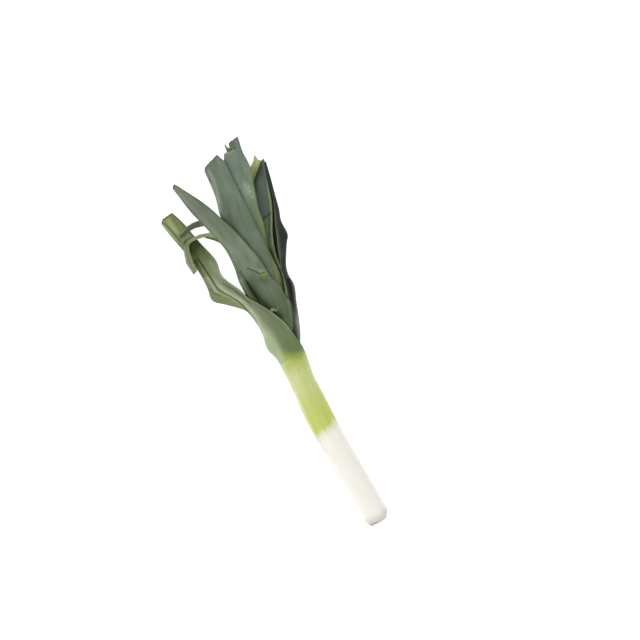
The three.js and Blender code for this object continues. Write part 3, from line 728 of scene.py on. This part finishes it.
WIDE_RIGHT_STATIONS = [
    rolled(5, 1, 150),
    station((11, 232), (-2.6, 232), 5.4, 135),
    station((21.4, 254), (1.4, 254), 5.4, 118),
    station((28, 271), (6, 271), 5.6, 105),
    station((31.4, 283), (10, 285), 5.5, 100),
    station((33.8, 295), (13, 298), 5.4, 95, height=14.5),
    station((34, 309), (16, 312), 5.2, height=14.7),
    station((35, 324), (18, 327), 5, height=14.9),
    station((40.2, 340), (19.6, 341), 4.8, height=15.1),
    station((43.6, 352), (21, 353), 4.6, height=15.2),
    station((45.5, 366), (22.6, 367), 4.4, height=15.4),
    station((50, 381), (23.6, 382), 4.2, height=15.5),
    station((54.5, 396), (25.2, 396), 3.8, height=15.4),
    station((59.2, 412), (26.4, 410), 3.4, height=15.2),
    station((59.6, 430), (26.4, 424), 2.9, height=15),
    station((62.6, 446), (26.4, 431), 2.4, height=14.8),
]
SPECKS = [(38.5, 396.7), (45.3, 396.5), (48, 392.5), (46.4, 387.5), (45.8, 380.5)]
NOTCHED_CUT = ((0, 0), (0.36, 2.4), (0.39, -6.9), (0.5, -5.2), (0.57, -4), (0.65, -2.2), (0.74, 0), (0.8, -5),
               (1, -8))
SHREDDED_CUT = ((0, 0), (0.36, 2.4), (0.53, 4.6), (0.56, 0.4), (0.595, 0.2), (0.615, 6.6), (0.64, 6.9),
                (0.665, -2.5), (1, -6))
WIDE_RIGHT_STROKES = [
    ("young", 0.35, 2.4, [(38.5, 338), (43.5, 362), (48.5, 385), (54, 402), (57.5, 414)]),   # right edge
    ("light", 0.35, 4.0, [(26, 280), (31, 290), (34, 304)]),
    # Painted shadow of the wide left leaf's margin.
    ("dark", 0.12, 1.3, [(36.9, 424), (36.7, 400), (36.4, 385)]),
]


def wide_right_marks(grid, t, share, upper, values):
    y = grid[..., 1]
    values["fresh"] += 0.9 * step(392, 345, y)
    values["young"] += 0.65 * step(335, 285, y)
    values["light"] += 0.4 * near_spot(grid, 45, 389, 4.6, 9) * upper
    values["light"] += sum(0.6 * near_spot(grid, *speck, 1.2, 1.0) for speck in SPECKS)
    values["light"] += 0.4 * step(0.45, 0.5, share) * upper * step(0.975, 0.99, t)
    return 0.0


def add_wide_right():
    skin = dict(face="#627163", streak="#566554", bloom="#738276", inner="#5f6d4c", fresh="#5a694a",
                young="#73843c", light="#98a587")
    add_leaf("leaf_wide_right", "blue_green_leaf", 1, 67, WIDE_RIGHT_STATIONS, skin, WIDE_RIGHT_STROKES,
             wide_right_marks, NOTCHED_CUT, SHREDDED_CUT)


# Grey right leaf: its upper flank is narrow above, so the green inside of its lower flank shows.

GREY_RIGHT_STATIONS = [
    rolled(3, 1, 100),
    station((17.7, 232), (9.4, 232), 7.5, 92),
    station((28, 254), (21.4, 255), 7.6),
    station((34, 268), (28.4, 270), 7, height=14.5, lower=(25, 270)),
    station((37.2, 281), (32.2, 280), 6.6, height=14.2, lower=(26.5, 282)),
    station((39, 290), (34.8, 290), 6, height=13.6, lower=(28, 291), fall=6.6),
    station((39, 300), (35.6, 299), 5, height=12.4, lower=(29, 300), fall=6.4),
    station((39.4, 311), (36.2, 309), 3.6, height=11, lower=(29.6, 311), fall=5.8),
    station((42.6, 325), (36.2, 324), 2.7, height=9.2, lower=(30, 325), fall=4.6),
    station((48.9, 340), (36.2, 339), 2.6, height=7.8, lower=(31, 340), fall=3.6),
    station((56, 353), (35.4, 355), 2.8, height=7),
    station((61.4, 365), (38, 370), 2.8, height=6.8),
    station((65.4, 377), (45, 382), 2.8, height=6.6, lower=(42, 384)),
    station((71, 396), (55.4, 395), 2.6, height=6.4, lower=(50, 398)),
    station((73.6, 404), (63.4, 404), 2.2, height=6.3, lower=(56, 407)),
    station((76.8, 414), (72, 413), 1.6, height=6.2, lower=(60, 413)),
]
CROSS_FOLD = [(44.5, 354), (50, 354.8), (56, 356.6)]
KEEL_EDGE = [(76, 414), (71, 396), (64.6, 377), (60.6, 365), (55.2, 353), (48.1, 340), (41.8, 325),
             (38.8, 311), (37.6, 298)]
SEAM = [(x - 3, y) for x, y in KEEL_EDGE[4:]]
STRIPES = [[(41, 346), (47, 352)], [(40, 336), (49, 351)], [(38, 322), (41.5, 331)]]
GREY_RIGHT_STROKES = [
    ("light", 0.28, 1.1, KEEL_EDGE),
    ("light", 0.8, 1.1, KEEL_EDGE, 400, 375),
    ("light", 0.7, 2.2, [(26.5, 257), (30, 268), (32.8, 280), (33.6, 292)]),   # face of the foot
    *[("light", 0.35, 0.6, stripe) for stripe in STRIPES],
    ("dark", 0.4, 3.2, [(53, 386), (56.6, 393.8), (60.5, 398.2), (65, 403), (68.5, 408)]),   # painted shade on the left side
    # painted shade in the seam beside the keel edge
    ("dark", 0.4, 0.7, SEAM),
]


def grey_right_marks(grid, t, share, upper, values):
    y = grid[..., 1]
    fold = near(grid, CROSS_FOLD, 0.8) * upper
    values["fresh"] += 0.9 * step(357, 350, y)
    # Painted shade in the cross fold, over a dip in the skin.
    values["dark"] += 0.7 * fold + 0.5 * step(0.955, 0.99, share) * upper * step(300, 320, y)
    values["dark"] += 0.3 * step(388, 402, y) * upper * step(0.3, 0.5, share)
    return -0.35 * fold


def add_grey_right():
    skin = dict(face="#4b564b", streak="#3e483c", bloom="#586359", inner="#b6c57c", fresh="#4c5b3a",
                young="#55663a", light="#8a996c", dark="#151c0b")
    add_leaf("leaf_grey_right", "grey_green_leaf", 1, 79, GREY_RIGHT_STATIONS, skin, GREY_RIGHT_STROKES,
             grey_right_marks, ((0, -1.5), (1, -2.5)),
             ((0, -1.5), (0.4, -1.5), (0.54, 0.6), (0.585, 8), (0.78, 2.6), (1, -1.5)))


# ==== Torn strip of the pointed leaf ====
#
# Two bands cross to the outer left leaf, where one of them hangs down, and a dark sheet along the edge of
# that one paints the shade on its underside where it leaves the pointed leaf. Each station gives the middle
# of a band, and half of its width as a direction.

WIDE_BAND = [
    ((-13.5, 380.5, 16.4), (1, 3.6, 1)),
    ((-22, 382.4, 16.6), (0.4, 3.3, 1)),
    ((-32, 382.6, 16.2), (0, 3, 1.2)),
    ((-40.5, 380.3, 15.4), (-0.5, 2.3, 1)),
    ((-47.2, 378.9, 14.2), (-0.9, 1.5, 0.6)),
]
HANGING_BAND = [
    ((-8.5, 360, 15.7), (-0.2, 5.6, 0.6)),
    ((-13.5, 363.9, 16), (0, 3.8, 0.7)),
    ((-20.2, 368.1, 16.2), (0, 2.1, 0.8)),
    ((-30, 369.8, 16.2), (0, 1.8, 0.8)),
    ((-38.6, 369.4, 15.6), (-0.8, 1.7, 0.8)),
    ((-43.6, 365.6, 14.6), (-2.2, 1.5, 0.8)),
    ((-46.8, 358.8, 12.8), (-3.2, 1.1, 0.2)),
    ((-48.7, 349.5, 11), (-3.8, 0.5, -0.4)),
    ((-48.7, 341.5, 10), (-3.4, -0.3, -0.6)),
    ((-48.3, 336.6, 9.6), (-2.7, -0.9, -0.5)),
]
# A dark sheet that paints the shaded underside where the hanging band leaves the pointed leaf.
SHADED_UNDERSIDE = [
    ((-8.2, 353.4, 15.8), (0.8, 1.0, 0.3)),
    ((-12.2, 358.4, 16), (0.8, 0.9, 0.3)),
    ((-16.2, 362.2, 16.1), (0.6, 0.9, 0.3)),
    ((-20.6, 365.9, 16), (0.4, 0.5, 0.2)),
]


def add_band(name, band, material, seed, thickness=0.7, hangs=False, green_rim=False):
    rows, columns = 90, 15
    t = np.linspace(0, 1, rows)[:, None]
    side = np.linspace(-1, 1, columns)[None, :]

    def read(part):
        return np.stack([smooth([s[part][axis] for s in band], t) for axis in range(3)], axis=-1)

    ragged = 1 + 0.12 * wave(seed, t * 25, np.sign(side))
    grid = read(0) + read(1) * (side * ragged)[..., None]
    outward = facing(grid, rows // 4, 2)
    bulge = 0.4 * (1 - side ** 2) * thickness + 0.12 * wave(seed + 1, side * 4, t * 8)
    grid = grid + outward * bulge[..., None]
    place = np.broadcast_arrays(arc_length(grid, 1) + APART * seed, arc_length(grid, 0)[:, :1], 0.0)
    hanging = hangs * step(0.5, 0.65, t)
    rim = green_rim * np.maximum(step(0.3, 0.8, side) * step(0.3, 0.8, t), step(0.86, 0.97, t))
    margins = 0.5 * step(0.75, 0.95, np.abs(side)) + 0.35 * step(0.25, 0.1, t)
    # Painted shade where the hanging band turns down.
    bend = hangs * 0.28 * bell(t, 0.5, 0.07)
    values = {
        "leaf": np.stack(place, axis=-1),
        "inner": 0.0,
        "fresh": hanging * step(-0.05, 0.15, side),
        "young": 0.85 * rim,
        "light": margins * (1 - hanging),
        "dark": 0.6 * hanging * bell(side, 0.02, 0.12) + 0.5 * step(0.97, 1.0, t) + bend,
    }
    add_sheet(name, grid, thickness, outward, values, {"inner": 1.0},
              body_slot="grey_green_leaf", replaced=None, material=material)


def add_torn_strip():
    # The wide band and the dark sheet share this skin, its dark colours painted shade for the strip's
    # underside.
    shaded_skin = leaf_material("torn_strip_skin", face="#494f39", streak="#3c432e", bloom="#565c47",
                         inner="#7d8a52", young="#76863f", light="#6c7a4c", dark="#10160a")
    green = leaf_material("torn_strip_inside", face="#77825a", streak="#667246", bloom="#868f6c",
                          inner="#7d8a52", fresh="#7c8178", light="#929b76", dark="#2a331a")
    add_band("torn_strip_wide", WIDE_BAND, shaded_skin, 91, green_rim=True)
    add_band("torn_strip_hanging", HANGING_BAND, green, 97, hangs=True)
    add_band("torn_strip_shaded_underside", SHADED_UNDERSIDE, shaded_skin, 101, thickness=0.5)


# ==== Shaft, root plate and the dried scrap ====

SHAFT_RINGS = [   # distance from the base, middle sideways, half width, half height
    (2.5, 1.2, 11.2, 11.2), (4.2, 1.5, 12.7, 12.6), (7, 1.8, 14.1, 13.9), (12, 1.9, 14.8, 14.4),
    (30, 1.8, 14.4, 14.5), (50, 0.9, 14.5, 14.5), (72, -0.4, 15, 14.6), (88, -1.4, 15.3, 14.6),
    (105, -2, 15.4, 14.6), (132, -2.1, 15.3, 14.5), (150, -1.5, 15.2, 14.5), (162, -0.8, 14.4, 14.4),
    (172, -0.7, 14, 14.3), (183, 0.3, 14.5, 14.3), (194, 1.3, 15.3, 14.3),
    (SHOULDER, SHOULDER_MIDDLE, SHOULDER_WIDTH, SHOULDER_HEIGHT),
]
SHEATH_EDGE = [(-14, 96), (-15.6, 114), (-15.3, 132), (-14, 150), (-13, 168)]
SHEATH_EDGE_SHADE = [(x + 1.6, y) for x, y in SHEATH_EDGE]
LOWEST_SHAFT = 0.02      # height of the flat strip that the shaft rests on

PLATE_BACK = 2.9         # where the rim of the root plate ends, inside the shaft
PLATE_BACK_SHARE = 0.9   # its radius there, as a share of the plate's
STUBS = 46               # cut roots on the plate
STUB_TURN = 2.4          # angle from one to the next, in radians
STAIN_X, STAIN_WIDTH = -5.0, 4.5     # where the plate is stained, sideways


def soften(values, places, width):
    """Values at evenly spaced places, averaged over a width."""
    spacing = places[1] - places[0]
    half = max(1, int(width / spacing))
    kernel = np.hanning(2 * half + 3)[1:-1]
    padded = np.pad(values, len(kernel) // 2, mode="edge")
    return np.convolve(padded, kernel / kernel.sum(), mode="valid")


def add_shaft():
    rows, sides = 420, 180
    y = np.linspace(SHAFT_RINGS[0][0], SHOULDER, rows)
    knots = [ring[0] for ring in SHAFT_RINGS]
    blend = step(8, 20, y)
    profile = []
    for column in (1, 2, 3):
        exact = np.interp(y, knots, [ring[column] for ring in SHAFT_RINGS])
        profile.append(soften(exact, y, 1.2) * (1 - blend) + soften(exact, y, 9.0) * blend)
    middle, half_width, half_height = (column[:, None] for column in profile)
    angle = turns(sides)
    y = y[:, None]
    girth = angle * SHOULDER_HEIGHT
    relief = 0.10 * wave(3, girth / 4.5, y / 90) + 0.05 * wave(4, girth / 1.8, y / 60)
    relief = relief * step(3, 12, y) - 0.12 - 0.9 * step(SHOULDER - 6, SHOULDER, y)
    x = middle + (half_width + relief) * np.cos(angle)
    z = AXIS_HEIGHT + (half_height + relief) * np.sin(angle)
    grid = np.stack(np.broadcast_arrays(x, y, z), axis=-1)
    upper = np.sin(angle) > 0
    edge = near(grid, SHEATH_EDGE, 1.4) * upper
    grid[..., 2] = np.maximum(z + 0.25 * edge, LOWEST_SHAFT)
    foot = (0.5 + 0.25 * step(0, -10, x)) * step(13, 3, y)
    values = {
        "leaf": np.stack(np.broadcast_arrays(girth, y, 0.0), axis=-1),
        "height": y - 0.22 * x,
        "collar": y + 0.5 * np.minimum(x, 4) - 0.2 * np.maximum(x - 8, 0),
        "light": 0.6 * edge + 0.4 * step(-3, -13, x) * step(150, 192, y) * upper,
        "dark": 0.12 * near(grid, SHEATH_EDGE_SHADE, 0.5) * upper,
        "tint": 0.3 * near_spot(grid, 14, 7, 4, 6) + foot,
    }
    faces = [face[::-1] for face in grid_faces(rows, sides, ring=True)]
    count = rows * sides
    faces.append(tuple(range(sides)))
    faces.append(tuple(range(count - 1, count - sides - 1, -1)))
    add_mesh("shaft_fine", grid, faces, values, "shaft", "shaft", shaft_material())


def add_root_plate():
    rings, sides = 40, 120
    material = plate_material()
    share = np.linspace(0, 1, rings)[:, None]
    angle = turns(sides)
    radius = PLATE_RADIUS * share * (1 + 0.02 * wave(7, angle * 3, share))
    x, z = radius * np.cos(angle), radius * np.sin(angle)
    rough = 0.25 * wave(8, x / 1.3, z / 1.3)
    dome = 0.15 + 0.95 * share ** 3 + 1.0 * step(0.85, 1.0, share) + rough * step(1.0, 0.9, share)
    face = np.stack([PLATE_MIDDLE + x, dome, AXIS_HEIGHT + z], axis=-1)
    rim = face[-1:].copy()
    rim[..., 0] = PLATE_MIDDLE + x[-1] * PLATE_BACK_SHARE
    rim[..., 1] = PLATE_BACK
    rim[..., 2] = AXIS_HEIGHT + z[-1] * PLATE_BACK_SHARE
    grid = np.concatenate([face, rim])
    ring = np.append(0.8 * bell(share, 0.72, 0.05), [[0.0]], axis=0)
    light = ring + 0.7 * step(2, 8, grid[..., 0])
    values = {"leaf": grid, "light": light, "dark": 0.85 * bell(grid[..., 0], STAIN_X, STAIN_WIDTH)}
    faces = grid_faces(rings + 1, sides, ring=True)
    add_mesh("root_plate_fine", grid, faces, values, "root_plate", "root_plate", material)
    chance = np.random.default_rng(5)
    for index in range(STUBS):
        out = PLATE_RADIUS * 0.8 * math.sqrt((index + 0.5) / STUBS)
        turn = index * STUB_TURN + chance.uniform(-0.3, 0.3)
        add_stub(index, out * math.cos(turn), out * math.sin(turn), chance, material)


def add_stub(index, x, z, chance, material):
    """End of a cut root: a short tube, a little bent and hollow at its tip."""
    rings, sides = 7, 14
    radius = chance.uniform(0.35, 0.8)
    reach = chance.uniform(0.3, 0.95)
    lean = chance.uniform(-0.25, 0.25, 2)
    share = np.linspace(0, 1, rings)[:, None]
    angle = turns(sides)
    width = radius * np.where(share < 0.8, 1.0, 1.0 - 3.4 * (share - 0.8))
    back = 1.4 - (1.4 + reach) * np.minimum(share / 0.85, 1) + 0.25 * step(0.85, 1.0, share)
    grid = np.stack([
        PLATE_MIDDLE + x + width * np.cos(angle) + lean[0] * share,
        back + 0.12 * wave(index, angle * 2, share),
        AXIS_HEIGHT + z + width * np.sin(angle) + lean[1] * share,
    ], axis=-1)
    values = {
        "leaf": grid + index,
        "light": 0.6 * step(0.5, 0.8, share) + 0.5 * step(1, 7, grid[..., 0]),
        "dark": 0.7 * bell(grid[..., 0], STAIN_X, STAIN_WIDTH),
    }
    faces = grid_faces(rings, sides, ring=True)
    faces.append(tuple(range(rings * sides - 1, (rings - 1) * sides - 1, -1)))
    add_mesh(f"root_stub_{index + 1}", grid, faces, values, "root_plate", None, material)


SCRAP_START = (5.4, 260.4, 26.2)     # its left end, where the pointed leaf leaves the outer one
SCRAP_LENGTH = 9.2
SCRAP_THICKNESS = 0.3


def add_scrap():
    """A dried scrap of leaf, caught where two leaves part."""
    material = leaf_material("dried_scrap_skin", face="#7f7d66", streak="#6c6852", bloom="#959380",
                             inner="#7f7d66", young="#94786c", light="#a3a08c", dark="#4a3c30")
    rows, columns = 30, 12
    t = np.linspace(0, 1, rows)[:, None]
    side = np.linspace(-1, 1, columns)[None, :]
    half_width = 1.7 - 0.9 * t + 0.35 * wave(15, t * 9, np.sign(side))
    grid = SCRAP_START + np.stack([
        SCRAP_LENGTH * t + 0.3 * side,
        -2.2 * t + 0.9 * np.sin(t * 7) + side * half_width,
        -1.2 * t ** 2 + 0.7 * np.cos(side * 2.2 + t * 5) + 0.3 * wave(13, t * 7, side * 2.5),
    ], axis=-1)
    values = {
        "leaf": grid, "inner": 0.0, "fresh": 0.0, "young": 0.9 * step(0.6, 0.9, t),
        "light": 0.5 * step(0.5, 0.9, np.abs(side)), "dark": 0.4 * step(0.9, 1.0, t),
    }
    add_sheet("dried_scrap", grid, SCRAP_THICKNESS, facing(grid, rows // 3, 2), values, {},
              body_slot="pale_leaf", replaced=None, material=material)


# ==== Stage, light and camera, in metres ====

FLOOR_REACH = 6.0        # from the middle to the edge of the floor
FLOOR_DROP = 0.0002      # how far the floor lies below z = 0, clear of the leek
FLOOR_TONE = 0.45        # its grey
FLOOR_GLOW = 0.85        # how strongly it glows, so that it looks nearly white
WORLD_LIGHT = 0.93       # strength of the plain white sky
CAMERA_HEIGHT = 1.969
LENS_LENGTH = 100.0      # in millimetres
SENSOR_WIDTH = 36.0      # in millimetres
VIEW_MIDDLE = np.array([48.3, 226.3])   # what the camera looks down on, in millimetres
VIEW_TURN = -28.0        # degrees: the shaft leans this far to the left in the view


def add_floor():
    mesh = bpy.data.meshes.new("floor")
    corners = [(-1, -1), (1, -1), (1, 1), (-1, 1)]
    mesh.from_pydata([(FLOOR_REACH * x, FLOOR_REACH * y, 0) for x, y in corners], [], [(0, 1, 2, 3)])
    floor = add_object("floor", mesh)
    floor.location.z = -FLOOR_DROP
    paint = Paint("floor_white", 0.6, 0.1)
    glow = {"Emission Color": grey(1), "Emission Strength": FLOOR_GLOW}
    mesh.materials.append(paint.done(grey(FLOOR_TONE), glow))


def add_light(name, place, size, power):
    """A square lamp that shines at the middle of the leek."""
    lamp = bpy.data.lights.new(name, "AREA")
    lamp.shape = "SQUARE"
    lamp.size = size
    lamp.energy = power
    light = add_object(name, lamp)
    light.location = place
    light.rotation_euler = (-Vector(place)).to_track_quat("-Z", "Y").to_euler()


def add_world():
    world = bpy.data.worlds.new("studio")
    world.use_nodes = True
    sky = world.node_tree.nodes["Background"]
    sky.inputs["Color"].default_value = grey(1)
    sky.inputs["Strength"].default_value = WORLD_LIGHT
    bpy.context.scene.world = world


def add_camera():
    lens = bpy.data.cameras.new("camera")
    lens.lens = LENS_LENGTH
    lens.sensor_width = SENSOR_WIDTH
    camera = add_object("camera", lens)
    across, along = (VIEW_MIDDLE + ORIGIN[:2]) * 0.001
    camera.location = (across, along, CAMERA_HEIGHT)
    camera.rotation_euler = (0, 0, math.radians(VIEW_TURN))
    bpy.context.scene.camera = camera


add_shaft()
add_root_plate()
add_outer_left()
add_outer_right()
add_pointed_left()
add_wide_left()
add_wide_right()
add_grey_right()
add_torn_strip()
add_scrap()
add_floor()
add_light("key", (-1.4, 0.7, 1.7), 1.2, 20)
add_light("fill", (1.5, -0.6, 1.4), 1.6, 5)
add_world()
add_camera()
bpy.context.scene.view_settings.view_transform = "Standard"
